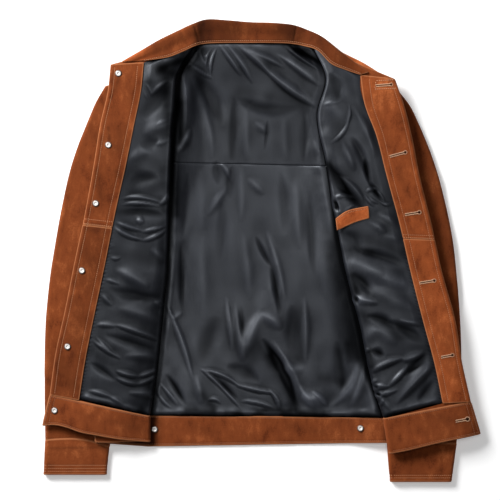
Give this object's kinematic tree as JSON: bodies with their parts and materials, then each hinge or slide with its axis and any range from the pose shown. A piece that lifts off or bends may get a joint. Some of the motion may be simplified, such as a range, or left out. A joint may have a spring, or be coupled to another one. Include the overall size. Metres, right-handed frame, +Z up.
{
  "type": "suede jacket",
  "caption": "Waist-length suede jacket with a satin lining, laid open on its back: fronts turned back, sleeves straight down beneath it, turned-down collar, waistband and metal fastenings.",
  "frame": {"origin": "centre of the bounding box's bottom face, on the surface that the jacket lies on", "axes": "+X across the jacket towards the front that has the buttonholes, +Y from the waistband to the collar, +Z up from the surface it lies on"},
  "size_m": [0.697, 0.739, 0.0279],
  "materials": {
    "suede": "suede, soft brushed nap, rust brown",
    "satin_lining": "satin, charcoal, glossy",
    "metal": "satin silver-coloured metal"
  },
  "bodies": {
    "root": {"back_outer": "suede", "front_outer_left": "suede", "front_outer_right": "suede", "facing_left_upper": "suede", "facing_left_lower": "suede", "facing_right_upper": "suede", "facing_right_lower": "suede", "hem_band_back": "suede", "hem_band_left": "suede", "hem_band_right": "suede", "collar_stand": "suede", "collar_leaf": "suede", "sleeve_left": "suede", "sleeve_right": "suede", "cuff_left": "suede", "cuff_right": "suede", "pocket_welt": "suede", "back_lining_upper": "satin_lining", "back_lining_lower": "satin_lining", "front_lining_left": "satin_lining", "front_lining_right": "satin_lining", "tack_1": "metal", "tack_2": "metal", "tack_3": "metal", "tack_4": "metal", "tack_5": "metal", "tack_6": "metal", "tack_7": "metal", "tack_8": "metal", "button_1": "metal", "button_2": "metal", "button_3": "metal", "button_4": "metal", "button_5": "metal", "button_6": "metal"}
  },
  "joints": []
}
